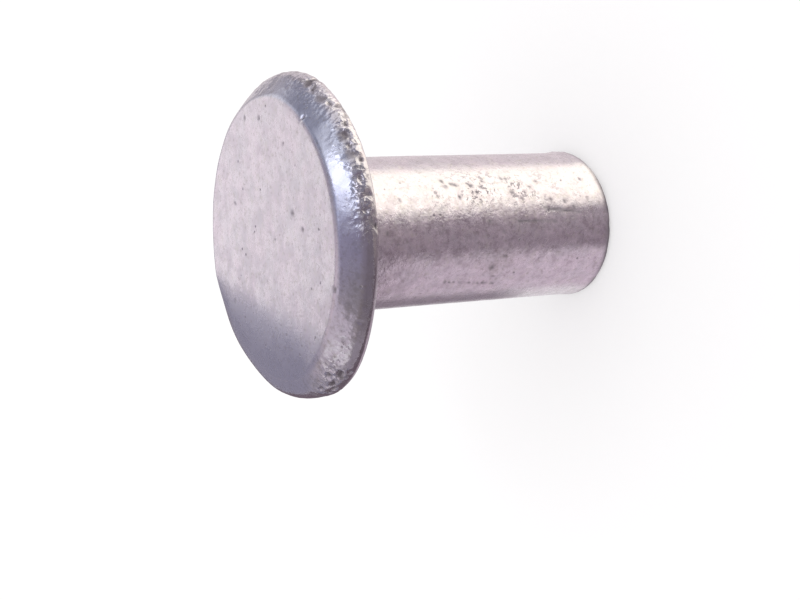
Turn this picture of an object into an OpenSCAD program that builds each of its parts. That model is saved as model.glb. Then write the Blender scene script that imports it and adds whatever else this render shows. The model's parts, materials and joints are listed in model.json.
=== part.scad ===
// Flat-headed tubular rivet: one cold-headed piece, with a bevelled round head,
// a plain shank and a blind bore in the shank's open end. Millimetres, +Z up.
// The origin is the centre of the open end, on which the rivet stands.

/* [Shank] */
// Outside diameter of the shank
shank_d = 4.8; // [4.2:0.1:6.4]
// Length of the shank, from its open end to the underside of the head
shank_len = 10; // [7:0.5:25]
// Growth of the radius at the open end, left by the punch
flare = 0.04; // [0:0.01:0.12]
// Length of the flared stretch
flare_len = 0.6; // [0.3:0.1:1.5]
// Rounding of the open end's outer edge
end_round = 0.14; // [0.05:0.01:0.2]

/* [Head] */
// Largest diameter of the head
head_d = 10; // [8.5:0.1:14]
// Thickness of the head
head_h = 1.15; // [1.05:0.05:2.5]
// Width of the bevel around the flat face, along the radius
bevel_w = 0.65; // [0.4:0.05:1.2]
// Height of the bevel
bevel_h = 0.68; // [0.3:0.02:0.74]
// Rounding between the flat face and the bevel
shoulder_round = 0.45; // [0.1:0.05:0.8]
// Rounding between the bevel and the rim
brow_round = 0.25; // [0.1:0.05:0.35]
// Rounding between the rim and the underside
rim_round = 0.25; // [0.1:0.05:0.35]
// Fillet between the underside and the shank
neck_fillet = 0.3; // [0.1:0.05:0.8]

/* [Bore] */
// Wall of the tube, between the bore and the outside of the shank
tube_wall = 0.65; // [0.45:0.05:1.2]
// Depth of the bore's straight wall
bore_depth = 5; // [2:0.25:6]
// Included angle of the cone at the bottom of the bore
point_angle = 120; // [90:5:150]
// Width of the chamfer at the mouth of the bore
mouth_chamfer = 0.12; // [0.05:0.01:0.2]

/* [Hidden] */
$fn = 128;
shank_r = shank_d / 2;
head_r = head_d / 2;
bore_r = shank_r - tube_wall;
height = shank_len + head_h;
point_h = bore_r / tan(point_angle / 2);
// How far a cutter runs past the face that it opens
past = 1;

// Corners of the blank's half section, as [radius, height, rounding]
blank_corners = [
    [0, 0, 0],
    [shank_r + flare, 0, end_round],
    [shank_r, flare_len, 0],
    [shank_r, shank_len, 0],
    [head_r, shank_len, rim_round],
    [head_r, height - bevel_h, brow_round],
    [head_r - bevel_w, height, shoulder_round],
    [0, height, 0]
];

// Unit vector from point a towards point b
function heading(a, b) = (b - a) / norm(b - a);

// Distance from a corner to where a round of radius r touches its sides u and v
function touch(u, v, r) = r / tan(acos(u * v) / 2);

// Centre of the round of radius r in corner c, between its sides u and v
function round_centre(c, u, v, r) = c + (u + v) / norm(u + v) * r / sin(acos(u * v) / 2);

// A polygon whose convex corners are rounded with true arcs
module rounded_polygon(corners) {
    n = len(corners);
    at = [for (c = corners) [c.x, c.y]];
    back = [for (i = [0:n - 1]) heading(at[i], at[(i + n - 1) % n])];
    on = [for (i = [0:n - 1]) heading(at[i], at[(i + 1) % n])];
    reach = [for (i = [0:n - 1]) touch(back[i], on[i], corners[i].z)];
    polygon([
        for (i = [0:n - 1])
            for (side = corners[i].z > 0 ? [back[i], on[i]] : [back[i]])
                at[i] + side * reach[i]
    ]);
    for (i = [0:n - 1])
        if (corners[i].z > 0)
            translate(round_centre(at[i], back[i], on[i], corners[i].z))
                circle(r = corners[i].z);
}

// The metal left in the inner corner between shank and head
module neck_section() {
    difference() {
        translate([shank_r - past, shank_len - neck_fillet])
            square([past + neck_fillet, neck_fillet]);
        translate([shank_r + neck_fillet, shank_len - neck_fillet])
            circle(r = neck_fillet);
    }
}

// The headed blank, before it is bored
module blank() {
    rotate_extrude()
        union() {
            rounded_polygon(blank_corners);
            neck_section();
        }
}

// The punched bore, with its chamfered mouth and conical bottom
module bore() {
    mouth_r = bore_r + mouth_chamfer;
    translate([0, 0, -past])
        cylinder(r = bore_r, h = past + bore_depth);
    translate([0, 0, bore_depth])
        cylinder(r1 = bore_r, r2 = 0, h = point_h);
    translate([0, 0, -past])
        cylinder(r1 = mouth_r + past, r2 = bore_r, h = past + mouth_chamfer);
}

module rivet() {
    color([0.80, 0.76, 0.79])
        difference() {
            blank();
            bore();
        }
}

rivet();
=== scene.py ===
"""Looks of the flat-headed tubular rivet: its worn, nicked surface, its dull aluminium and a plain studio.

Lengths are millimetres until they are written into a mesh, a light or the camera. Azimuths are in
degrees about +Z, 0 on the camera's side (-Y) and 90 towards +X, which is up in the photo.
"""
import itertools
import json
import math

import bpy
import numpy as np
from mathutils import Matrix, Vector

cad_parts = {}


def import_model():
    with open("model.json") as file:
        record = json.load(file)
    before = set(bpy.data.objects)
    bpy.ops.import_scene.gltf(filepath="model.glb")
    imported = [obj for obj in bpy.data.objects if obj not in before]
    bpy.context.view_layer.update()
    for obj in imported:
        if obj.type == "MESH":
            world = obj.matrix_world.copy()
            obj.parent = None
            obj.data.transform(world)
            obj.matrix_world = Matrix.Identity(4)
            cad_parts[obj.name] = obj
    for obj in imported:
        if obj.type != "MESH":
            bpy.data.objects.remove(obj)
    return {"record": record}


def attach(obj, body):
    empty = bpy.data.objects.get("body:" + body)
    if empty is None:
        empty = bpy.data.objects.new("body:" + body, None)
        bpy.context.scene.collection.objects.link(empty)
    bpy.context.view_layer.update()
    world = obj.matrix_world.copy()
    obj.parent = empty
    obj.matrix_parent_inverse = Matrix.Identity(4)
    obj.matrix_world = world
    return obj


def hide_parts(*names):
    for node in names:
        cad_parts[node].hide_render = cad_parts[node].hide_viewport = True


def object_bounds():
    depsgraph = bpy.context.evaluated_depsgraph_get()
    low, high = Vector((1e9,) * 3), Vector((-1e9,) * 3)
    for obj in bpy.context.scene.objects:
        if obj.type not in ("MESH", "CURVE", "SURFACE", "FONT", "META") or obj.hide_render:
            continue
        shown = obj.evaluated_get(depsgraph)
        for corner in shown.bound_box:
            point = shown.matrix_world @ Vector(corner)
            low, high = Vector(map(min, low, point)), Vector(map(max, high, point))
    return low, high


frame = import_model()
cad_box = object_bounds()

MM = 0.001
mounts = {m["name"]: m for m in frame["record"]["mounts"]}

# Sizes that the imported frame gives
SHANK_R = mounts["shank"]["dims"]["r_mm"]
BORE_R = mounts["bore"]["dims"]["r_mm"]
SEAT_Z = mounts["head_seat"]["pos_m"][2] / MM
TOP_Z = mounts["head_face"]["pos_m"][2] / MM
HEAD_R = (cad_box[1].x - cad_box[0].x) / 2 / MM

# Sizes that it doesn't, as part.scad has them
BEVEL_W = 0.65
BEVEL_H = 0.68
RIM_ROUND = 0.25
NECK_FILLET = 0.3
FLARE = 0.04
FLARE_LEN = 0.6
END_ROUND = 0.14
BORE_DEPTH = 5.0
POINT_ANGLE = 120
MOUTH_CHAMFER = 0.12
FACE_R = HEAD_R - BEVEL_W
BEVEL_Z = TOP_Z - BEVEL_H
POINT_H = BORE_R / math.tan(math.radians(POINT_ANGLE / 2))

# Roundings between face and bevel and between bevel and rim, as wear left them on the rivet of the photo
SHOULDER_ROUND = 0.3
BROW_ROUND = 0.5
# Roundings that part.scad leaves out
FLARE_ROUND = 2.0
MOUTH_ROUND = 0.03
BORE_END_ROUND = 0.1


# ---------------------------------------------------------------- section

# Corners of the half section, from the middle of the face to the end of the bore: radius, height, rounding
CORNERS = [
    (0, TOP_Z, 0),
    (FACE_R, TOP_Z, SHOULDER_ROUND),
    (HEAD_R, BEVEL_Z, BROW_ROUND),
    (HEAD_R, SEAT_Z, RIM_ROUND),
    (SHANK_R, SEAT_Z, NECK_FILLET),
    (SHANK_R, FLARE_LEN, FLARE_ROUND),
    (SHANK_R + FLARE, 0, END_ROUND),
    (BORE_R + MOUTH_CHAMFER, 0, MOUTH_ROUND),
    (BORE_R, MOUTH_CHAMFER, MOUTH_ROUND),
    (BORE_R, BORE_DEPTH, BORE_END_ROUND),
    (0, BORE_DEPTH + POINT_H, 0),
]
ARC_STEP = math.radians(1.5)


def section_line():
    """The rounded half section as a fine line of (radius, height) points."""
    at = np.array([c[:2] for c in CORNERS], float)
    line = [at[0]]
    for i in range(1, len(CORNERS) - 1):
        back = (at[i - 1] - at[i]) / np.linalg.norm(at[i - 1] - at[i])
        on = (at[i + 1] - at[i]) / np.linalg.norm(at[i + 1] - at[i])
        half = math.acos(float(back @ on)) / 2
        radius = CORNERS[i][2]
        middle = at[i] + (back + on) / np.linalg.norm(back + on) * radius / math.sin(half)
        start = at[i] + back * radius / math.tan(half) - middle
        turn = math.copysign(math.pi - 2 * half, float(back[1] * on[0] - back[0] * on[1]))
        for t in np.linspace(0, turn, max(2, int(abs(turn) / ARC_STEP))):
            c, s = math.cos(t), math.sin(t)
            line.append(middle + (start[0] * c - start[1] * s, start[0] * s + start[1] * c))
    line.append(at[-1])
    return np.array(line)


# How far apart the rings of the mesh stand along the section
RIM_GAP = 0.038
FACE_GAP = 0.08
UNDERSIDE_GAP = 0.13
SHANK_GAP = 0.085
MOUTH_GAP = 0.06
BORE_GAP = 0.2
# How far inwards from the rim, and from the edge of the face, the mesh stays as fine as at the rim
FINE_BAND = 0.35


def spacing_at(r, z):
    """How far apart the rings stand along the section, finer where the metal is nicked."""
    if z > BEVEL_Z - 0.5 and r > FACE_R - FINE_BAND:
        return RIM_GAP
    if z > TOP_Z - 0.05:
        return FACE_GAP
    if z > SEAT_Z - NECK_FILLET and r > SHANK_R + 0.05:
        return RIM_GAP if r > HEAD_R - FINE_BAND else UNDERSIDE_GAP
    if r > SHANK_R - 0.02:
        return SHANK_GAP
    return MOUTH_GAP if z < 2 * MOUTH_CHAMFER else BORE_GAP


# Vertices of a ring at the rim and of the smallest ring, which is the rim's count halved six times
RIM_DIVISIONS = 896
FEWEST_DIVISIONS = 14
# A ring's count is halved for as long as that leaves its vertices closer together than this
VERTEX_GAP = 0.062


def divisions_wanted(r, z):
    """How many vertices a ring would best have: the rim's count, halved some times."""
    if r > FACE_R - FINE_BAND and z > SEAT_Z - 0.05:
        return RIM_DIVISIONS if r > HEAD_R - FINE_BAND or z > SEAT_Z + 0.1 else RIM_DIVISIONS // 4
    count = RIM_DIVISIONS // (2 if z > TOP_Z - 0.05 else 4 if r > BORE_R + 0.05 else 8)
    while count > FEWEST_DIVISIONS and count / 2 > 2 * math.pi * r / VERTEX_GAP:
        count //= 2
    return count


# Steps in which the section is walked to place the rings, and over how many the spacing is evened out
WALK_STEP = 0.004
EVEN_OVER = 25
# How far to each side of a ring the section's direction is taken
TANGENT_REACH = 0.01


def ring_counts(radius, height):
    """How many vertices each ring has, at most doubled or halved from one ring to the next."""
    counts, count = [], FEWEST_DIVISIONS
    for r, z in zip(radius, height):
        wanted = divisions_wanted(r, z)
        if wanted > count:
            count *= 2
        elif wanted < count:
            count //= 2
        counts.append(count)
    return counts


def rings():
    """Rings of the lathed mesh: their radii, heights, outward normals in the section, and vertex counts."""
    line = section_line()
    steps = np.linalg.norm(np.diff(line, axis=0), axis=1)
    along = np.concatenate([[0], np.cumsum(steps)])
    fine = np.arange(0, along[-1], WALK_STEP)
    r = np.interp(fine, along, line[:, 0])
    z = np.interp(fine, along, line[:, 1])
    gaps = np.array([spacing_at(a, b) for a, b in zip(r, z)])
    window = np.ones(EVEN_OVER) / EVEN_OVER
    gaps = np.convolve(np.pad(gaps, EVEN_OVER // 2, mode="edge"), window, mode="valid")
    number = np.cumsum(WALK_STEP / gaps)
    at = np.interp(np.arange(1, number[-1]), number, fine)
    radius, height = np.interp(at, fine, r), np.interp(at, fine, z)
    ahead, behind = at + TANGENT_REACH, at - TANGENT_REACH
    outwards = np.interp(ahead, fine, r) - np.interp(behind, fine, r)
    upwards = np.interp(ahead, fine, z) - np.interp(behind, fine, z)
    tangent = np.stack([outwards, upwards], 1)
    tangent /= np.linalg.norm(tangent, axis=1)[:, None]
    normal = np.stack([-tangent[:, 1], tangent[:, 0]], 1)
    return radius, height, normal, ring_counts(radius, height)


def stitch(first, n, second, m):
    """Faces between a ring of n vertices from index first and one of m from index second."""
    faces = []
    if n == m:
        for i in range(n):
            j = (i + 1) % n
            faces.append((first + i, first + j, second + j, second + i))
        return faces
    if n > m:
        for i in range(m):
            j = (i + 1) % m
            a, b, c = first + 2 * i, first + 2 * i + 1, first + (2 * i + 2) % n
            faces += [(a, b, second + i), (b, second + j, second + i), (b, c, second + j)]
        return faces
    for i in range(n):
        j = (i + 1) % n
        a, b, c = second + 2 * i, second + 2 * i + 1, second + (2 * i + 2) % m
        faces += [(first + i, b, a), (first + i, first + j, b), (first + j, c, b)]
    return faces


def lathe():
    """Vertices, outward normals and faces of the plain rivet, before wear."""
    radius, height, normal, counts = rings()
    points, normals, faces = [np.array([[0, 0, TOP_Z]])], [np.array([[0, 0, 1.0]])], []
    for r, z, n, count in zip(radius, height, normal, counts):
        turn = np.arange(count) * (2 * math.pi / count)
        c, s = np.cos(turn), np.sin(turn)
        points.append(np.stack([r * c, r * s, np.full(count, z)], 1))
        normals.append(np.stack([n[0] * c, n[0] * s, np.full(count, n[1])], 1))
    starts = np.cumsum([1] + counts)
    end = int(starts[-1])
    faces += [(0, 1 + i, 1 + (i + 1) % counts[0]) for i in range(counts[0])]
    for k in range(len(counts) - 1):
        band = stitch(int(starts[k]), counts[k], int(starts[k + 1]), counts[k + 1])
        faces += [face[::-1] for face in band]
    last = int(starts[-2])
    faces += [(end, last + (i + 1) % counts[-1], last + i) for i in range(counts[-1])]
    points.append(np.array([[0, 0, BORE_DEPTH + POINT_H]]))
    normals.append(np.array([[0, 0, -1.0]]))
    return np.concatenate(points), np.concatenate(normals), faces


# ---------------------------------------------------------------- wear

def smooth(t):
    """Goes from 0 to 1 as t does, with a level start and end."""
    t = np.clip(t, 0, 1)
    return t * t * (3 - 2 * t)


def azimuth_of(points):
    return np.degrees(np.arctan2(points[:, 0], -points[:, 1]))


def radius_of(points):
    return np.hypot(points[:, 0], points[:, 1])


def bell(value, middle, width):
    return np.exp(-0.5 * ((value - middle) / width) ** 2)


def around(azimuth, middle, width):
    """A bell over azimuths, which wraps round."""
    return bell((azimuth - middle + 180) % 360, 180, width)


def round_from(azimuth, middle, radius):
    """How far round a cylinder an azimuth is from another one, in millimetres."""
    return ((azimuth - middle + 180) % 360 - 180) * math.radians(radius)


# Large odd numbers that scramble a corner's place and the seed into a random value
SCRAMBLE_X, SCRAMBLE_Y, SCRAMBLE_Z = 73856093, 19349663, 83492791
SCRAMBLE_SEED = 2971215073
SCRAMBLE_AGAIN = 1274126177


def noise(points, cell, seed):
    """Smooth noise from -1 to 1, with one random value at each corner of cubes of the given side."""
    at = points / cell
    low = np.floor(at).astype(np.int64)
    part = smooth(at - low)
    total = np.zeros(len(points))
    for corner in itertools.product((0, 1), repeat=3):
        x, y, z = (low + corner).T
        mixed = (x * SCRAMBLE_X) ^ (y * SCRAMBLE_Y) ^ (z * SCRAMBLE_Z) ^ (seed * SCRAMBLE_SEED)
        mixed = ((mixed ^ (mixed >> 13)) * SCRAMBLE_AGAIN) & 0xFFFFFFFF
        value = ((mixed ^ (mixed >> 15)) & 0xFFFF) / 32767.5 - 1
        total += value * np.prod(np.where(corner, part, 1 - part), axis=1)
    return total


# The head leans on the shank: its rise per millimetre towards +X and towards +Y
HEAD_LEAN = (0.012, 0.015)
# Where the head is out of round: azimuth, width in degrees, growth of the face's edge, growth of the rim
SWELLS = [
    (-170, 12, 0.0, 0.06),
    (-151, 14, 0.34, 0.30),
    (-121, 16, 0.13, 0.09),
    (-99, 14, 0.04, -0.03),
    (-85, 10, 0.0, -0.06),
    (-52, 14, 0.0, 0.11),
    (5, 30, -0.05, 0.0),
    (45, 14, -0.05, -0.09),
    (75, 25, -0.10, 0.0),
]
# The struck face falls away beyond a line across it: a point of the line, the way down, and the slope
FALL_POINT = (-1.6, 1.1)
FALL_TOWARDS = (-0.96, 0.28)
FALL_SLOPE = 0.11
# Over how many millimetres the fall sets in, at the far end of the line and at the near one
FALL_RUN_IN = (0.35, 1.5)


def beyond_fall(points):
    """How far a point lies beyond the line from which the face falls away."""
    from_line = points[:, :2] - FALL_POINT
    return from_line[:, 0] * FALL_TOWARDS[0] + from_line[:, 1] * FALL_TOWARDS[1]


def fall(points):
    """How deep the face lies at each point because of the fall."""
    beyond = np.maximum(beyond_fall(points), 0)
    run_in = FALL_RUN_IN[1] + (FALL_RUN_IN[0] - FALL_RUN_IN[1]) * smooth((points[:, 1] + 2) / 5)
    return FALL_SLOPE * (np.sqrt(beyond ** 2 + run_in ** 2) - run_in)


# Between which azimuths the face's edge is beaten into a dome, and over how many degrees that sets in
DOME_FROM, DOME_TO, DOME_RUN = -172, -64, 20
# The radius at which the dome begins, and the powers that shape its curve
DOME_START = 2.8
DOME_POWERS = (3.0, 0.62)
# How far above the rim the dome is complete
DOME_BLEND = 0.3


def domed_part(azimuth):
    """How fully the head is domed at an azimuth, from 0 to 1."""
    return smooth((azimuth - DOME_FROM) / DOME_RUN) * smooth((DOME_TO - azimuth) / DOME_RUN)


def dome_edge(points):
    """Lowers the face and the bevel to one round curve where the head was beaten down."""
    r, z = radius_of(points), points[:, 2]
    t = np.clip((r - DOME_START) / (HEAD_R - DOME_START), 0, 1)
    height = BEVEL_Z + BEVEL_H * (1 - t ** DOME_POWERS[0]) ** DOME_POWERS[1]
    weight = domed_part(azimuth_of(points)) * smooth((z - BEVEL_Z) / DOME_BLEND)
    domed = points.copy()
    domed[:, 2] += weight * (height - z)
    above_rim = np.maximum(domed[:, 2] - BEVEL_Z, 0)
    domed[:, 2] -= above_rim * fall(points) / BEVEL_H
    return domed


# The rim's lower edge is beaten up a little on the camera's side: where, over how many degrees, by how much
EDGE_LIFT_AT, EDGE_LIFT_WIDTH, EDGE_LIFT = -20, 36, 0.13


def lift_edge(points):
    """Lifts the underside of the head near the rim, and the rim's own lower part with it."""
    z = points[:, 2]
    lifted = points.copy()
    near_rim = smooth((radius_of(points) - 4.1) / 0.8) * smooth((BEVEL_Z - z) / (BEVEL_Z - SEAT_Z))
    lifted[:, 2] += EDGE_LIFT * around(azimuth_of(points), EDGE_LIFT_AT, EDGE_LIFT_WIDTH) * near_rim
    return lifted


# The open end isn't cut quite square: where the tube is shortest, over how many degrees and by how much
END_CUT_AT, END_CUT_WIDTH, END_CUT = 85, 40, 0.17
# The height up to which the tube is squeezed together for it
END_CUT_HEIGHT = 1.2


def cut_end(points):
    """Raises the open end on one side, as a slanting cut leaves it."""
    cut = points.copy()
    near_end = smooth(1 - points[:, 2] / END_CUT_HEIGHT)
    cut[:, 2] += END_CUT * around(azimuth_of(points), END_CUT_AT, END_CUT_WIDTH) * near_end
    return cut


# The radius from which the head's growth sets in, on its way to the edge of the face
SWELL_START = 2.6


def bend_head(points):
    """Leans the head and presses it out of round, as an upsetting blow leaves it."""
    x, y, z = points.T
    # The whole head moves as one, and the fillet under it gives way
    head = smooth((z - (SEAT_Z - NECK_FILLET)) / NECK_FILLET)
    azimuth, r = azimuth_of(points), radius_of(points)
    outward = points[:, :2] / np.maximum(r, 1e-6)[:, None]
    face = smooth((z - BEVEL_Z) / BEVEL_H)
    growth = sum(around(azimuth, at, width) * (rim + (top - rim) * face) for at, width, top, rim in SWELLS)
    growth = growth * head * smooth((r - SWELL_START) / (FACE_R - SWELL_START))
    bent = points.copy()
    bent[:, :2] += outward * growth[:, None]
    bent[:, 2] += head * (HEAD_LEAN[0] * x + HEAD_LEAN[1] * y)
    return bent


# Stretches of the rim that were knocked about: azimuth, width in degrees, height, half height, strength
KNOCKED = [
    (10, 12, 10.46, 0.20, 1.0),
    (34, 14, 10.40, 0.26, 1.0),
    (62, 16, 10.45, 0.28, 1.0),
    (92, 14, 10.50, 0.28, 0.6),
    (-60, 9, 10.66, 0.24, 1.0),
    (-72, 8, 10.40, 0.24, 0.8),
    (-44, 12, 10.55, 0.28, 0.4),
    (-100, 12, 10.5, 0.3, 0.4),
    (89, 7, 10.80, 0.16, 0.7),
    (150, 22, 10.45, 0.3, 0.6),
    (-165, 9, 10.4, 0.2, 0.7),
]
# Gouges across the bevel and the rim: azimuth, height, half width along the rim, half height, depth
GOUGES = [
    (-57, 10.62, 0.16, 0.05, 0.07),
    (-61, 10.78, 0.13, 0.06, 0.07),
    (-64, 10.60, 0.20, 0.05, 0.09),
    (-67, 10.46, 0.15, 0.06, 0.08),
    (-71, 10.66, 0.12, 0.05, 0.06),
    (-54, 10.40, 0.08, 0.08, 0.06),
    (-1, 10.14, 0.10, 0.10, 0.09),
    (4, 10.52, 0.09, 0.06, 0.05),
    (9, 10.36, 0.08, 0.12, 0.06),
    (15, 10.50, 0.12, 0.06, 0.06),
    (21, 10.30, 0.09, 0.12, 0.07),
    (27, 10.52, 0.10, 0.07, 0.06),
    (36, 10.34, 0.12, 0.09, 0.07),
    (47, 10.46, 0.10, 0.08, 0.06),
    (58, 10.60, 0.12, 0.06, 0.05),
    (-33, 10.58, 0.05, 0.05, 0.04),
    (49, 11.08, 0.09, 0.06, 0.06),
    (133, 10.45, 0.18, 0.07, 0.08),
    (171, 10.40, 0.14, 0.09, 0.07),
]
# Pits of the face by azimuth, radius, half width and depth
FACE_PITS = [
    (19, 1.85, 0.085, 0.026),
    (2, 2.32, 0.07, 0.014),
    (104, 3.97, 0.065, 0.018),
    (89, 3.71, 0.065, 0.020),
    (-24, 4.30, 0.08, 0.022),
    (150, 2.6, 0.07, 0.012),
    (-150, 3.4, 0.06, 0.010),
    (60, 3.1, 0.06, 0.010),
]
# Pits of the shank by azimuth, height, half width and depth
SHANK_PITS = [
    (35, 6.13, 0.08, 0.016),
    (30, 6.06, 0.07, 0.012),
    (32, 5.82, 0.07, 0.014),
    (31, 5.66, 0.08, 0.014),
    (21, 5.67, 0.09, 0.018),
    (30, 5.13, 0.08, 0.014),
    (34, 4.64, 0.08, 0.014),
    (28, 4.78, 0.08, 0.014),
    (24, 5.00, 0.07, 0.012),
    (36, 3.92, 0.07, 0.012),
    (35, 3.75, 0.06, 0.010),
    (23, 3.69, 0.09, 0.016),
    (18, 3.42, 0.07, 0.014),
    (23, 3.20, 0.07, 0.014),
    (27, 2.94, 0.07, 0.012),
    (32, 2.65, 0.06, 0.012),
    (14, 1.75, 0.09, 0.018),
    (9, 1.45, 0.07, 0.012),
    (33, 0.84, 0.07, 0.014),
    (1, 4.74, 0.08, 0.014),
    (16, 2.3, 0.07, 0.016),
    (-7, 4.24, 0.05, 0.010),
    (-35, 4.52, 0.09, 0.010),
    (-26, 4.10, 0.06, 0.006),
    (-4, 8.4, 0.06, 0.010),
    (20, 7.8, 0.05, 0.010),
    (118, 6.6, 0.07, 0.012),
    (-140, 3.3, 0.08, 0.012),
    (171, 7.2, 0.07, 0.012),
]
# Rows of small dots, and scratches as rows of close ones, that tools left along the shank:
# first and last azimuth, first and last height, how many dots, their half width and depth
ROWS = [
    ((-46, -51), (6.1, 4.2), 13, 0.05, 0.008),
    ((0, -1), (3.65, 2.2), 40, 0.045, 0.007),
    ((-42, -44), (4.8, 4.0), 15, 0.022, 0.004),
    ((9, 5), (2.6, 1.2), 24, 0.05, 0.008),
]


def dots():
    """The dots of the rows, each with its azimuth, height, half width and depth."""
    found = []
    for azimuths, heights, count, size, deep in ROWS:
        for t in np.linspace(0, 1, count):
            uneven = 0.02 * math.sin(37 * t)
            height = np.interp(t + uneven, (0, 1), heights)
            found.append((np.interp(t, (0, 1), azimuths), height, size, deep))
    return found


# The width of the bell that is a pit, as a share of its half width, and of one that is a gouge
PIT_BELL = 0.6
GOUGE_BELL = 0.75


def pit_depth(points, normals):
    """Depth of the listed pits at each point, and how much of a pit's floor it is."""
    azimuth, r, z = azimuth_of(points), radius_of(points), points[:, 2]
    depth, floor = np.zeros(len(points)), np.zeros(len(points))
    on_face = normals[:, 2] > 0.9
    on_shank = (z < SEAT_Z - NECK_FILLET) & (r > SHANK_R - 0.1)
    ragged = 1 + 0.35 * noise(points, 0.09, 11)
    for at, where, size, deep in FACE_PITS:
        a = math.radians(at)
        away = np.hypot(points[:, 0] - where * math.sin(a), points[:, 1] + where * math.cos(a))
        hole = bell(away * ragged, 0, size * PIT_BELL) * on_face
        depth, floor = depth + deep * hole, np.maximum(floor, hole)
    for at, height, size, deep in SHANK_PITS + dots():
        away = np.hypot(round_from(azimuth, at, SHANK_R), z - height)
        hole = bell(away * ragged, 0, size * PIT_BELL) * on_shank
        depth, floor = depth + deep * hole, np.maximum(floor, hole)
    return depth, floor


def gouge_depth(points):
    """Depth of the gouges at each point of the head's side."""
    azimuth, z = azimuth_of(points), points[:, 2]
    ragged = 1 + 0.4 * noise(points, 0.12, 18)
    depth = np.zeros(len(points))
    for at, height, wide, tall, deep in GOUGES:
        away = np.hypot(round_from(azimuth, at, HEAD_R) / wide, (z - height) / tall)
        depth = np.maximum(depth, deep * bell(away * ragged, 0, GOUGE_BELL))
    return depth * (z > SEAT_Z - 0.01) * (radius_of(points) > FACE_R - 0.1)


# Where the shank's bright stripe is scuffed: azimuth, width in degrees, height, half height, strength
SCUFFS = [
    (26, 11, 4.6, 2.0, 1.0),
    (14, 9, 2.2, 1.0, 0.8),
    (20, 12, 7.8, 1.4, 0.55),
    (10, 7, 1.6, 0.9, 0.8),
]
# The soft dark blotch on the shank: two spots and a fainter one around them, each written as a scuff is
BLOTCH_SPOTS = [
    (-35, 4.5, 4.5, 0.25, 1.0),
    (-26, 4, 4.08, 0.18, 0.8),
]
BLOTCH_HALO = (-31, 8, 4.4, 0.5, 0.5)
# How strongly the shank's grain shows, and where more or less: azimuth, width in degrees, change
GRAIN = 0.45
GRAIN_CHANGES = [
    (5, 11, 0.5),
    (-28, 15, 0.3),
    (38, 12, -0.36),
]
# The burr that the cut left at the open end, written as a scuff is, but ending in how far it stands out
BURR = (82, 9, 0.35, 0.22, 0.05)
# How far the bevel swells out between its edges
BEVEL_SWELL = 0.028
# How much the whole rim is worn, next to the stretches that were knocked about
RIM_WEAR = 0.22
# How deep a knocked rim is roughened and chipped, and a scuffed shank roughened and pitted
KNOCK_GRAIN, KNOCK_CHIPS = 0.021, 0.075
SCUFF_GRAIN, SCUFF_PITS = 0.0022, 0.012
# Height and half height of the worn lip of the open end, and how far its nicks go in
LIP_Z, LIP_TALL, LIP_NICKS = 0.05, 0.09, 0.02


class Surface:
    """The plain rivet's points as azimuths, radii and heights, and the parts of its surface they lie on."""

    def __init__(self, points, normals):
        self.points, self.normals = points, normals
        self.azimuth, self.r, self.z = azimuth_of(points), radius_of(points), points[:, 2]
        self.outside = (self.r > SHANK_R - 0.1) | (self.z > BEVEL_Z - 1e-6)
        head = (self.z > SEAT_Z - 0.01) & (self.r > SHANK_R)
        self.face = smooth((normals[:, 2] - 0.85) / 0.12) * self.outside
        self.shank = self.outside & (self.z < SEAT_Z - NECK_FILLET)
        self.bevel = head * (normals[:, 2] > 0.05) * (1 - self.face)
        self.rim = head & (self.r > FACE_R - 0.1)
        self.lip = bell(self.z, LIP_Z, LIP_TALL) * (self.r > SHANK_R - 0.08) * self.outside
        self.down_bevel = np.clip((TOP_Z - self.z) / BEVEL_H, 0, 1)

    def noise(self, cell, seed):
        return noise(self.points, cell, seed)

    def spot(self, at, width, height, tall, strength):
        """A soft spot on the rivet's side."""
        return strength * around(self.azimuth, at, width) * bell(self.z, height, tall)

    def strongest(self, spots):
        return np.maximum.reduce([self.spot(*spot) for spot in spots])


def knocked_part(on):
    knocked = np.maximum(on.strongest(KNOCKED), RIM_WEAR * bell(on.z, BEVEL_Z - 0.05, 0.22)) * on.rim
    patchy = smooth((on.noise(0.45, 1) + 0.75) / 0.9)
    return knocked * (0.35 + 0.65 * patchy)


def scuffed_part(on):
    return on.strongest(SCUFFS) * on.shank * smooth((on.noise(0.5, 12) + 0.6) / 0.9)


def blotched_part(on):
    spots = sum(on.spot(*spot) for spot in BLOTCH_SPOTS)
    return np.maximum(spots, on.spot(*BLOTCH_HALO)) * on.shank


def grained_part(on):
    changes = (change * around(on.azimuth, at, width) for at, width, change in GRAIN_CHANGES)
    return sum(changes, GRAIN) * on.shank


def painted_slope_shade_part(on):
    """Painted bluish shade on the beaten side of the face, where it falls away, and on the domed bevel next
    to it.
    """
    domed = 0.75 * on.bevel * domed_part(on.azimuth) * smooth((on.z - BEVEL_Z) / 0.35)
    beaten = smooth((beyond_fall(on.points) + 0.25) / 1.3)
    return beaten * smooth((on.points[:, 1] + 4.6) / 4) * np.maximum(on.face, domed)


def unevenness(on):
    """How far the outside stands out or in all over, by slow waves and the swelling of the bevel."""
    move = 0.004 * on.noise(1.3, 2) + 0.0018 * on.noise(0.5, 3)
    move += on.face * (0.006 * on.noise(2.6, 4) - 0.0008 * on.noise(0.3, 5))
    return move + on.bevel * (BEVEL_SWELL * np.sin(math.pi * on.down_bevel) + 0.006 * on.noise(0.8, 6))


def edge_shade(on):
    """Painted shade on the lip of the open end, where the end's rounding turns away, and along the rim's
    lower edge under the head.
    """
    on_lip = on.lip * (0.6 + 0.4 * smooth(on.noise(0.3, 16) + 0.5))
    return on_lip + 0.4 * on.rim * bell(on.z, SEAT_Z, 0.1) * (0.6 + 0.4 * on.noise(0.3, 17))


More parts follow.
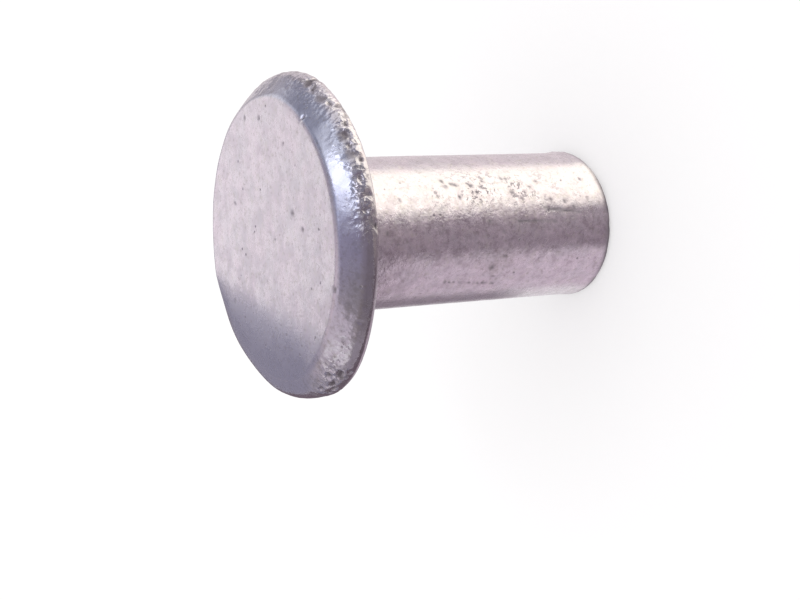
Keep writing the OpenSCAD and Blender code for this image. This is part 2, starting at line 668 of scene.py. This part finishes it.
def wear(on):
    """The worn rivet's points, moved along their normals, and the masks that the material reads, painted
    shade and a painted reflection among them.
    """
    grain = on.noise(0.18, 7) + 0.6 * on.noise(0.09, 8)
    chips = np.maximum(0, on.noise(0.32, 9) + 0.4 * on.noise(0.13, 10))
    knocked, scuffed = knocked_part(on), scuffed_part(on)
    gouges = gouge_depth(on.points)
    pits, pit_floor = pit_depth(on.points, on.normals)

    move = unevenness(on)
    move -= knocked * (KNOCK_GRAIN * grain + KNOCK_CHIPS * chips ** 1.3) + gouges
    move -= scuffed * (SCUFF_GRAIN * grain + SCUFF_PITS * np.maximum(0, on.noise(0.13, 13) - 0.35))
    move -= pits
    move += on.spot(*BURR) * on.shank * (0.6 + 0.4 * on.noise(0.2, 14))
    move -= on.lip * LIP_NICKS * np.maximum(0, on.noise(0.22, 15))

    nicks = knocked * smooth((chips - 0.3) / 0.4) + smooth((gouges - 0.02) / 0.05)
    low_bevel = smooth((on.down_bevel - 0.64) / 0.22)
    masks = {
        "knocked": knocked,
        # dark in nicks and pit floors, dirt and painted shade alike, and painted shade along the lip and
        # the rim's lower edge
        "dirt": np.clip(nicks + 0.9 * pit_floor + edge_shade(on), 0, 1),
        "scuffed": np.clip(scuffed, 0, 1),
        "grained": grained_part(on),
        # painted bluish shade where the face falls away and the bevel is domed
        "tarnish": painted_slope_shade_part(on),
        "blotch": blotched_part(on),
        "face": on.face,
        "bevel": on.bevel,
        # a painted bluish reflection on the bevel towards +X, fainter down its lower part
        "blued": on.bevel * around(on.azimuth, 35, 38) * (1 - 0.8 * low_bevel),
        # painted shade on the rim's lower part, on the camera's side
        "browned": 0.85 * on.rim * low_bevel * around(on.azimuth, -18, 24),
        "bore": 1.0 * ~on.outside,
    }
    return dome_edge(on.points) + on.normals * np.where(on.outside, move, 0)[:, None], masks


# ---------------------------------------------------------------- piece

def make_mesh(name, points, faces, masks):
    """A smooth object whose mesh carries each mask as an attribute of its points."""
    mesh = bpy.data.meshes.new(name)
    mesh.from_pydata((points * MM).tolist(), [], faces)
    mesh.polygons.foreach_set("use_smooth", [True] * len(mesh.polygons))
    for mask, values in masks.items():
        attribute = mesh.attributes.new(mask, "FLOAT", "POINT")
        attribute.data.foreach_set("value", values.astype(np.float32))
    mesh.update()
    piece = bpy.data.objects.new(name, mesh)
    bpy.context.scene.collection.objects.link(piece)
    return piece


points, normals, faces = lathe()
points, masks = wear(Surface(points, normals))
piece = make_mesh("worn_rivet", bend_head(lift_edge(cut_end(points))), faces, masks)
triangles = sum(len(f) - 2 for f in faces)
print("triangles", triangles, "vertices", len(points))


# ---------------------------------------------------------------- materials

class Shading:
    """Short ways of adding nodes to one material."""

    def __init__(self, name):
        self.material = bpy.data.materials.new(name)
        self.material.use_nodes = True
        self.nodes, self.links = self.material.node_tree.nodes, self.material.node_tree.links
        self.shader = self.nodes["Principled BSDF"]

    def put(self, value, socket):
        """Sets a socket to a value, or links another node's output to it."""
        if isinstance(value, bpy.types.NodeSocket):
            self.links.new(value, socket)
        elif isinstance(value, tuple) and len(value) == 3 and socket.type == "RGBA":
            socket.default_value = (*value, 1)
        else:
            socket.default_value = value

    def mask(self, name):
        """The attribute of that name which the mesh carries."""
        node = self.nodes.new("ShaderNodeAttribute")
        node.attribute_name = name
        return node.outputs["Fac"]

    def place(self):
        """The point's own coordinates in millimetres."""
        where = self.nodes.new("ShaderNodeTexCoord")
        scaled = self.nodes.new("ShaderNodeVectorMath")
        scaled.operation = "SCALE"
        scaled.inputs["Scale"].default_value = 1 / MM
        self.links.new(where.outputs["Object"], scaled.inputs[0])
        return scaled.outputs[0]

    def noise(self, place, per_mm, detail=3.0, roughness=0.55):
        node = self.nodes.new("ShaderNodeTexNoise")
        node.inputs["Scale"].default_value = per_mm
        node.inputs["Detail"].default_value = detail
        node.inputs["Roughness"].default_value = roughness
        self.links.new(place, node.inputs["Vector"])
        return node.outputs["Fac"]

    def cells(self, place, per_mm):
        """The distance to the nearest of some scattered points."""
        node = self.nodes.new("ShaderNodeTexVoronoi")
        node.inputs["Scale"].default_value = per_mm
        self.links.new(place, node.inputs["Vector"])
        return node.outputs["Distance"]

    def ramp(self, value, low, high, to_low=0.0, to_high=1.0):
        """A smooth change from to_low to to_high while the value goes from low to high."""
        node = self.nodes.new("ShaderNodeMapRange")
        node.interpolation_type = "SMOOTHSTEP"
        node.inputs["From Min"].default_value = low
        node.inputs["From Max"].default_value = high
        node.inputs["To Min"].default_value = to_low
        node.inputs["To Max"].default_value = to_high
        self.links.new(value, node.inputs["Value"])
        return node.outputs["Result"]

    def math(self, operation, a, b):
        node = self.nodes.new("ShaderNodeMath")
        node.operation = operation
        self.put(a, node.inputs[0])
        self.put(b, node.inputs[1])
        return node.outputs[0]

    def times(self, a, b):
        return self.math("MULTIPLY", a, b)

    def mix(self, amount, a, b):
        """One colour turning into another. A Mix node names the sockets of all its types alike, so it
        is by number that the ones for colours are found.
        """
        node = self.nodes.new("ShaderNodeMix")
        node.data_type = "RGBA"
        self.put(amount, node.inputs["Factor"])
        self.put(a, node.inputs[6])
        self.put(b, node.inputs[7])
        return node.outputs[2]

    def bump(self, height, depth_mm, strength, under=None):
        """A normal roughened by a height, over the normal of another bump where there is one."""
        node = self.nodes.new("ShaderNodeBump")
        node.inputs["Distance"].default_value = depth_mm * MM
        self.put(strength, node.inputs["Strength"])
        self.put(height, node.inputs["Height"])
        if under is not None:
            self.links.new(under, node.inputs["Normal"])
        return node.outputs["Normal"]


# Clean metal, which is pink and grey in patches, and what changes it, painted shade and a painted
# reflection among that
PINK_METAL = (0.735, 0.650, 0.710)
GREY_METAL = (0.69, 0.645, 0.69)
WARM_METAL = (0.71, 0.66, 0.65)
DULL_METAL = (0.50, 0.435, 0.48)
BRIGHT_METAL = (0.90, 0.81, 0.87)
# Painted bluish shade on the beaten slope of the face and the domed bevel
SLOPE_SHADE = (0.53, 0.51, 0.59)
# A painted bluish reflection on the bevel, where its highlight lies
BLUE_REFLECTION_TINT = (0.53, 0.555, 0.70)
# Painted shade: the bevel's metal darker and bluer than the face's
SHADED_BEVEL_METAL = (0.62, 0.58, 0.64)
# Painted shade on the rim's lower part, on the camera's side
LOW_RIM_SHADE = (0.46, 0.42, 0.45)
BLOTCH = (0.40, 0.36, 0.35)
# Dirt in nicks and pits, and the painted shade there and along the lip and the rim's lower edge
DIRT_AND_SHADE = (0.14, 0.115, 0.135)
# Painted shade in the bore: its metal darker
SHADED_BORE_METAL = (0.50, 0.47, 0.48)


def metal_colour(s, place, speckle):
    """Pink and grey patches, the shank's grain, and darker specks; painted shade and a painted bluish
    reflection make the bevel and the beaten side bluer, and painted shade darkens the rim's lower part and
    the bore.
    """
    mottle = s.ramp(s.noise(place, 1.3, 5.0, 0.75), 0.32, 0.68)
    colour = s.mix(mottle, PINK_METAL, GREY_METAL)
    colour = s.mix(s.ramp(s.noise(place, 4.4, 3.0, 0.7), 0.5, 0.7, 0.0, 0.7), colour, WARM_METAL)
    grain = s.noise(place, 3.0, 5.0, 0.75)
    dull = s.ramp(grain, 0.50, 0.62, 0.0, 0.85)
    bright = s.ramp(grain, 0.36, 0.48, 0.85, 0.0)
    colour = s.mix(s.times(s.mask("grained"), dull), colour, DULL_METAL)
    colour = s.mix(s.times(s.mask("grained"), bright), colour, BRIGHT_METAL)
    # Painted shade that darkens and blues the whole bevel
    colour = s.mix(s.times(s.mask("bevel"), 0.7), colour, SHADED_BEVEL_METAL)
    streaks = s.ramp(s.noise(place, 3.6, 3.0, 0.65), 0.48, 0.68, 0.0, 0.6)
    colour = s.mix(s.times(s.mask("bevel"), streaks), colour, BLOTCH)
    # Painted bluish reflection on the bevel
    colour = s.mix(s.times(s.mask("blued"), 0.9), colour, BLUE_REFLECTION_TINT)
    # Painted shade on the rim's lower part
    colour = s.mix(s.mask("browned"), colour, LOW_RIM_SHADE)
    # Painted shade on the beaten slope
    colour = s.mix(s.mask("tarnish"), colour, SLOPE_SHADE)
    # Painted shade inside the bore
    in_bore = s.ramp(mottle, 0.0, 1.0, 0.7, 1.0)
    colour = s.mix(s.times(s.mask("bore"), in_bore), colour, SHADED_BORE_METAL)
    blotched = s.ramp(speckle, 0.3, 0.7, 0.2, 0.8)
    colour = s.mix(s.times(s.mask("blotch"), blotched), colour, BLOTCH)
    return s.mix(s.ramp(speckle, 0.5, 0.8, 0.0, 0.6), colour, BLOTCH)


def specks(s, place):
    """Sparse small pits all over, and a thick scatter of finer ones where the shank is scuffed."""
    pits = s.ramp(s.cells(place, 2.6), 0.05, 0.15, 1.0, 0.0)
    pits = s.times(pits, s.ramp(s.noise(place, 1.1, 2.0), 0.5, 0.62))
    fine = s.ramp(s.noise(place, 7.0, 3.0, 0.7), 0.545, 0.61)
    fine = s.times(fine, s.mask("scuffed"))
    nicks = s.ramp(s.noise(place, 11.0, 2.0, 0.6), 0.57, 0.66)
    nicks = s.times(nicks, s.mask("knocked"))
    return s.math("MAXIMUM", s.math("MAXIMUM", pits, fine), nicks)


def aluminium():
    """Dull, slightly pink aluminium, with painted blue-grey shade on the beaten slope, and dark where dirt
    and painted shade sit in nicks, pits and along the edges.
    """
    s = Shading("worn_aluminium")
    place = s.place()
    speckle = s.noise(place, 9.0, 2.0, 0.6)
    pits = specks(s, place)
    # Dirt and painted shade: nicks, pits, the lip and the rim's lower edge darkened
    dirt = s.math("MAXIMUM", s.times(pits, 0.7), s.mask("dirt"))
    s.put(s.mix(dirt, metal_colour(s, place, speckle), DIRT_AND_SHADE), s.shader.inputs["Base Color"])
    s.put(s.ramp(dirt, 0.0, 1.0, 1.0, 0.35), s.shader.inputs["Metallic"])

    rough = s.ramp(s.noise(place, 2.2, 4.0, 0.6), 0.3, 0.7, 0.22, 0.34)
    rough = s.math("SUBTRACT", rough, s.times(s.mask("bevel"), 0.06))
    rough = s.math("SUBTRACT", rough, s.times(s.mask("knocked"), 0.08))
    rough = s.math("ADD", rough, s.times(dirt, 0.25))
    s.put(s.math("ADD", rough, s.times(s.mask("bore"), 0.12)), s.shader.inputs["Roughness"])

    normal = s.bump(s.noise(place, 3.2, 4.0, 0.6), 0.008, s.ramp(s.mask("face"), 0.0, 1.0, 0.4, 0.15))
    normal = s.bump(s.noise(place, 11.0, 2.0, 0.5), 0.0045, 0.6, normal)
    normal = s.bump(s.noise(place, 8.0, 2.0, 0.6), 0.012, s.mask("grained"), normal)
    normal = s.bump(s.cells(place, 8.0), 0.03, s.times(s.mask("knocked"), 0.8), normal)
    normal = s.bump(s.cells(place, 6.5), 0.012, s.times(s.mask("scuffed"), 0.5), normal)
    normal = s.bump(pits, -0.015, 0.7, normal)
    s.put(normal, s.shader.inputs["Normal"])
    return s.material


piece.data.materials.append(aluminium())
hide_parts("rivet")
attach(piece, "root")


# ---------------------------------------------------------------- camera

FRAME_W, FRAME_H = 800, 600
SENSOR_W = 36.0
FOCAL_PX = 1345.5
# Height of the camera above the horizon, and its turn away from having the rivet's axis level
CAMERA_ELEVATION = 29.61
CAMERA_ROLL = 4.64
# Where the middle of the head's underside falls in the photo, and how far before the lens it lies
SEAT_PX = (303.6, 236.9)
SEAT_DEPTH = 41.17


def camera():
    """A camera that lies on its side, so that the standing rivet's axis runs across the frame."""
    tilt, roll = math.radians(90 - CAMERA_ELEVATION), math.radians(CAMERA_ROLL)
    # The frame's axes as the camera has them: x to the right, y down, z forward
    up = Vector((-math.cos(roll) * math.sin(tilt), math.sin(roll) * math.sin(tilt), -math.cos(tilt)))
    away = ((Vector((0, 0, 1)) + up * math.cos(tilt)) / math.sin(tilt)).normalized()
    side = away.cross(up)
    to_world = Matrix((side, away, up))
    across, down = (SEAT_PX[0] - FRAME_W / 2) / FOCAL_PX, (SEAT_PX[1] - FRAME_H / 2) / FOCAL_PX
    seat = Vector((across, down, 1)) * SEAT_DEPTH
    place = Vector((0, 0, SEAT_Z)) - to_world @ seat
    lens = bpy.data.cameras.new("camera")
    lens.sensor_width = SENSOR_W
    lens.lens = FOCAL_PX * SENSOR_W / FRAME_W
    lens.clip_start, lens.clip_end = 1 * MM, 5000 * MM
    seen = bpy.data.objects.new("camera", lens)
    bpy.context.scene.collection.objects.link(seen)
    turn = to_world @ Matrix.Diagonal((1, -1, -1))
    seen.matrix_world = Matrix.Translation(place * MM) @ turn.to_4x4()
    bpy.context.scene.camera = seen


# ---------------------------------------------------------------- studio

FLOOR_SIZE = 3000
# The floor's own colour, and the glow by which the camera and reflections see it white
FLOOR_COLOUR = (0.56, 0.556, 0.558)
FLOOR_GLOW_COLOUR = (1, 0.99, 0.995)
FLOOR_GLOW = 0.46
WORLD_COLOUR = (1, 0.995, 1)


def floor():
    """A wide pale floor, which keeps the rivet's soft shadow."""
    bpy.ops.mesh.primitive_plane_add(size=FLOOR_SIZE * MM, location=(0, 0, 0))
    plane = bpy.context.object
    plane.name = "floor"
    s = Shading("floor")
    s.put(FLOOR_COLOUR, s.shader.inputs["Base Color"])
    s.put(0.9, s.shader.inputs["Roughness"])
    s.put(0.0, s.shader.inputs["Specular IOR Level"])
    s.put(FLOOR_GLOW_COLOUR, s.shader.inputs["Emission Color"])
    path = s.nodes.new("ShaderNodeLightPath")
    seen = s.math("MAXIMUM", path.outputs["Is Camera Ray"], path.outputs["Is Glossy Ray"])
    seen = s.math("MAXIMUM", seen, path.outputs["Is Transmission Ray"])
    s.put(s.times(seen, FLOOR_GLOW), s.shader.inputs["Emission Strength"])
    plane.data.materials.append(s.material)


def world():
    """An even white sky."""
    studio = bpy.data.worlds.new("studio")
    bpy.context.scene.world = studio
    studio.use_nodes = True
    background = studio.node_tree.nodes["Background"]
    background.inputs["Color"].default_value = (*WORLD_COLOUR, 1)
    background.inputs["Strength"].default_value = 1.0


def towards(azimuth, elevation):
    """The unit vector in a direction."""
    a, e = math.radians(azimuth), math.radians(elevation)
    return Vector((math.sin(a) * math.cos(e), -math.cos(a) * math.cos(e), math.sin(e)))


def softbox(name, azimuth, elevation, distance, width, height, power, colour):
    """An area light that looks at the head from a distance."""
    lamp = bpy.data.lights.new(name, "AREA")
    lamp.shape = "RECTANGLE"
    lamp.size, lamp.size_y = width * MM, height * MM
    lamp.energy = power
    lamp.color = colour
    placed = bpy.data.objects.new(name, lamp)
    bpy.context.scene.collection.objects.link(placed)
    back = towards(azimuth, elevation)
    placed.location = (back * distance + Vector((0, 0, TOP_Z))) * MM
    placed.rotation_mode = "QUATERNION"
    placed.rotation_quaternion = back.to_track_quat("Z", "Y")


def card_material(name, colour):
    """A card's colour, which fades out towards its edges as the cover attribute says."""
    material = bpy.data.materials.new(name)
    material.use_nodes = True
    nodes, links = material.node_tree.nodes, material.node_tree.links
    nodes.remove(nodes["Principled BSDF"])
    glow = nodes.new("ShaderNodeEmission")
    glow.inputs["Color"].default_value = (*colour, 1)
    clear = nodes.new("ShaderNodeBsdfTransparent")
    cover = nodes.new("ShaderNodeAttribute")
    cover.attribute_name = "cover"
    mix = nodes.new("ShaderNodeMixShader")
    links.new(cover.outputs["Fac"], mix.inputs[0])
    links.new(clear.outputs[0], mix.inputs[1])
    links.new(glow.outputs[0], mix.inputs[2])
    links.new(mix.outputs[0], nodes["Material Output"].inputs["Surface"])
    material.cycles.emission_sampling = "NONE"
    return material


def reflected_only(card):
    """A studio card that shapes what the metal reflects, and neither lights, shades nor hides anything."""
    card.visible_camera = False
    card.visible_diffuse = False
    card.visible_transmission = False
    card.visible_shadow = False


CARD_CELLS = 24


def card_cover(u, v, wide, tall, fade):
    """How solid a card is at the shares u and v of its spans: it fades out towards its ends."""
    t = 1.0
    if fade[0]:
        t = min(t, min(u, 1 - u) * wide / fade[0])
    if fade[1]:
        t = min(t, v * tall / fade[1])
    if fade[-1]:
        t = min(t, (1 - v) * tall / fade[-1])
    return smooth(t)


def card(name, colour, azimuths, low_high, fade, place):
    """A curved card over a span of azimuths and of a second measure, which place() turns into a point.

    It fades out over fade[0] at both ends of its azimuths, over fade[1] at the low end of the second
    measure, and over fade[-1] at its high end.
    """
    steps = np.linspace(0, 1, CARD_CELLS + 1)
    wide, tall = azimuths[1] - azimuths[0], low_high[1] - low_high[0]
    corners, cover = [], []
    for v in steps:
        for u in steps:
            corners.append(tuple(place(azimuths[0] + u * wide, low_high[0] + v * tall) * MM))
            cover.append(card_cover(u, v, wide, tall, fade))
    row = CARD_CELLS + 1
    cells = [
        (j * row + i, j * row + i + 1, (j + 1) * row + i + 1, (j + 1) * row + i)
        for j in range(CARD_CELLS)
        for i in range(CARD_CELLS)
    ]
    mesh = bpy.data.meshes.new(name)
    mesh.from_pydata(corners, [], cells)
    attribute = mesh.attributes.new("cover", "FLOAT", "POINT")
    attribute.data.foreach_set("value", cover)
    mesh.materials.append(card_material(name, colour))
    made = bpy.data.objects.new(name, mesh)
    bpy.context.scene.collection.objects.link(made)
    reflected_only(made)


def sky(distance):
    """Places for a card that hangs in the sky, at a distance of its own so that no two cards touch."""
    return lambda azimuth, elevation: towards(azimuth, elevation) * distance + Vector((0, 0, TOP_Z))


def ground(height):
    """Places for a card just above the floor, its azimuth being that towards which the shank mirrors."""
    def place(azimuth, radius):
        foot = towards(azimuth / 2, 0) * SHANK_R
        return foot + towards(azimuth, 0) * (radius - SHANK_R) + Vector((0, 0, height))
    return place


# The shank mirrors the floor up to some 20 mm away, the rim only what lies beyond
FLOOR_SPAN = (2.41, 300)
FLOOR_BEYOND = (19, 300)


def studio_cards():
    # Low, around the foot: what the shank and the rim reflect
    card("front_flag", (0.335, 0.285, 0.325), (-62, 28), FLOOR_SPAN, (22, 0), ground(0.010))
    card("left_grey", (0.70, 0.62, 0.69), (-135, -40), FLOOR_SPAN, (20, 0), ground(0.012))
    card("left_edge_flag", (0.30, 0.26, 0.30), (-168, -116), (5.5, 60), (14, 2.5), ground(0.014))
    card("right_white", (1.7, 1.66, 1.46), (13, 110), FLOOR_SPAN, (18, 0), ground(0.016))
    card("near_flag", (0.42, 0.37, 0.40), (-30, 45), (2.41, 14), (40, 0, 8), ground(0.017))
    card("back_grey", (0.85, 0.79, 0.80), (98, 190), FLOOR_SPAN, (12, 0), ground(0.018))
    card("far_flag", (0.20, 0.16, 0.19), (-192, -14), FLOOR_BEYOND, (14, 0), ground(0.020))
    card("far_grey", (0.46, 0.41, 0.42), (-24, 36), FLOOR_BEYOND, (10, 0), ground(0.022))
    # High in the sky, over the camera and round the back: what the bevel and the face reflect
    card("zenith_flag", (0.36, 0.33, 0.44), (-90, 90), (60, 120), (0, 10), sky(510))
    card("crest_flag", (0.47, 0.44, 0.48), (-90, 90), (84, 126), (0, 12), sky(505))
    card("over_flag", (0.34, 0.31, 0.39), (-104, 36), (-12, 82), (30, 12), sky(500))
    card("warm_over_flag", (0.34, 0.31, 0.325), (-100, -28), (-12, 68), (24, 14), sky(498))
    card("low_over_flag", (0.29, 0.26, 0.31), (-66, 50), (-12, 36), (20, 14), sky(495))
    card("window_flag", (0.36, 0.36, 0.42), (14, 66), (-12, 72), (16, 9), sky(490))
    card("window_tail", (0.80, 0.83, 0.98), (6, 74), (66, 88), (12, 8), sky(485))
    card("left_flag", (0.55, 0.50, 0.55), (-174, -112), (-12, 80), (16, 10), sky(480))
    card("low_left_flag", (0.42, 0.385, 0.44), (-122, -60), (-12, 34), (10, 8), sky(470))
    card("side_flag", (0.37, 0.365, 0.41), (85, 145), (-12, 66), (22, 10), sky(460))
    card("low_side_flag", (0.50, 0.47, 0.50), (94, 170), (-12, 15), (14, 5), sky(455))
    card("low_back_flag", (0.28, 0.275, 0.35), (160, 262), (-12, 15), (12, 5), sky(450))
    card("back_white", (1.2, 1.15, 1.19), (152, 189), (13, 28), (7, 5), sky(440))
    card("left_back_flag", (0.44, 0.42, 0.48), (183, 228), (-12, 60), (7, 12), sky(430))
    card("edge_back_flag", (0.38, 0.365, 0.44), (182, 215), (-12, 38), (4, 6), sky(425))
    card("high_back_flag", (0.36, 0.345, 0.43), (130, 206), (33, 72), (14, 8), sky(420))
    card("shoulder_glow", (0.72, 0.655, 0.71), (172, 288), (37, 84), (14, 10), sky(415))


camera()
floor()
world()
softbox("key", 52, 59, distance=300, width=160, height=92, power=0.066, colour=(0.92, 0.95, 1.0))
studio_cards()

bpy.context.scene.view_settings.view_transform = "Standard"
